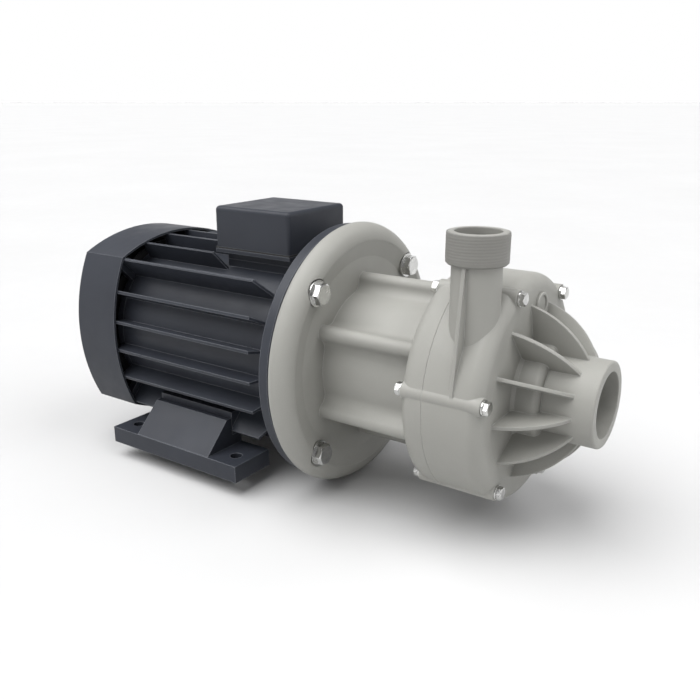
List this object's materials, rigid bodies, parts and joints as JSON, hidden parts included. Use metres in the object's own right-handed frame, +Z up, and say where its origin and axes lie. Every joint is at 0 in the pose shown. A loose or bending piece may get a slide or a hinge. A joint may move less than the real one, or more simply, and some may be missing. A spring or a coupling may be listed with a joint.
{
  "type": "magnetic drive pump",
  "caption": "Close-coupled magnetic drive pump: finned foot-mounted motor, flanged lantern and ribbed plastic casing with axial suction and upward discharge.",
  "frame": {"origin": "centre of the four foot holes, on the underside of the feet", "axes": "+X along the shaft from the fan towards the suction port, +Z up from the feet, the discharge stands on the -Y side"},
  "size_m": [0.5479, 0.255, 0.2703],
  "materials": {
    "motor_paint": "satin dark blue-grey enamel",
    "pump_plastic": "matte moulded warm grey",
    "stainless": "bright stainless",
    "shaft_steel": "ground steel",
    "black_plastic": "matte black",
    "rubber": "matte black",
    "copper": "varnished copper wire",
    "brass": "bright brass",
    "core_iron": "bare iron",
    "cage_alloy": "as cast",
    "magnet": "dark sintered",
    "carbon": "dark carbon-filled",
    "ceramic": "polished white"
  },
  "bodies": {
    "pump_body": {"motor_frame": "motor_paint", "drive_end_shield": "motor_paint", "rear_end_shield": "motor_paint", "fan_cowl": "motor_paint", "terminal_box_base": "motor_paint", "terminal_box_lid": "motor_paint", "near_foot": "motor_paint", "far_foot": "motor_paint", "lantern": "pump_plastic", "front_casing": "pump_plastic", "shaft_support": "pump_plastic", "flange_bolts": "stainless", "flange_washers": "stainless", "casing_bolts": "stainless", "casing_washers": "stainless", "casing_nuts": "stainless", "cowl_screws": "stainless", "foot_screws": "stainless", "shield_screws": "stainless", "front_bearing_outer_ring": "shaft_steel", "rear_bearing_outer_ring": "shaft_steel", "terminal_board": "black_plastic", "cable_gland": "black_plastic", "terminal_box_gasket": "rubber", "casing_seal": "rubber", "shaft_seal": "rubber", "stator_windings": "copper", "terminal_studs": "brass", "stator_core": "core_iron", "containment_shell": "carbon", "wear_ring": "carbon", "pump_shaft": "ceramic", "front_thrust_ring": "ceramic", "rear_thrust_ring": "ceramic"},
    "motor_rotor": {"motor_shaft": "shaft_steel", "rotor_core": "core_iron", "rotor_cage": "cage_alloy", "front_bearing_inner_ring": "shaft_steel", "rear_bearing_inner_ring": "shaft_steel", "cooling_fan": "black_plastic", "shaft_key": "shaft_steel", "drive_magnet_hub": "core_iron", "drive_magnets": "magnet", "hub_washer": "stainless", "hub_screw": "stainless"},
    "impeller_rotor": {"impeller": "pump_plastic", "impeller_shroud": "pump_plastic", "magnet_carrier": "pump_plastic", "carrier_magnets": "magnet", "shaft_bushes": "carbon"},
    "front_ball_set": {"front_bearing_balls": "shaft_steel", "front_bearing_cage": "black_plastic"},
    "rear_ball_set": {"rear_bearing_balls": "shaft_steel", "rear_bearing_cage": "black_plastic"}
  },
  "joints": [
    {"name": "motor_spin", "type": "hinge", "parent": "pump_body", "child": "motor_rotor", "pos_m": [0.14, 0, 0.112], "axis": [1, 0, 0], "continuous": true},
    {"name": "impeller_spin", "type": "hinge", "parent": "pump_body", "child": "impeller_rotor", "pos_m": [0.14, 0, 0.112], "axis": [1, 0, 0], "continuous": true},
    {"name": "front_ball_orbit", "type": "hinge", "parent": "pump_body", "child": "front_ball_set", "pos_m": [0.14, 0, 0.112], "axis": [1, 0, 0], "continuous": true},
    {"name": "rear_ball_orbit", "type": "hinge", "parent": "pump_body", "child": "rear_ball_set", "pos_m": [0.14, 0, 0.112], "axis": [1, 0, 0], "continuous": true}
  ],
  "couplings": [
    {"joint": "impeller_spin", "follows": "motor_spin", "ratio": 1},
    {"joint": "front_ball_orbit", "follows": "motor_spin", "ratio": 0.39652},
    {"joint": "rear_ball_orbit", "follows": "motor_spin", "ratio": 0.39652}
  ]
}
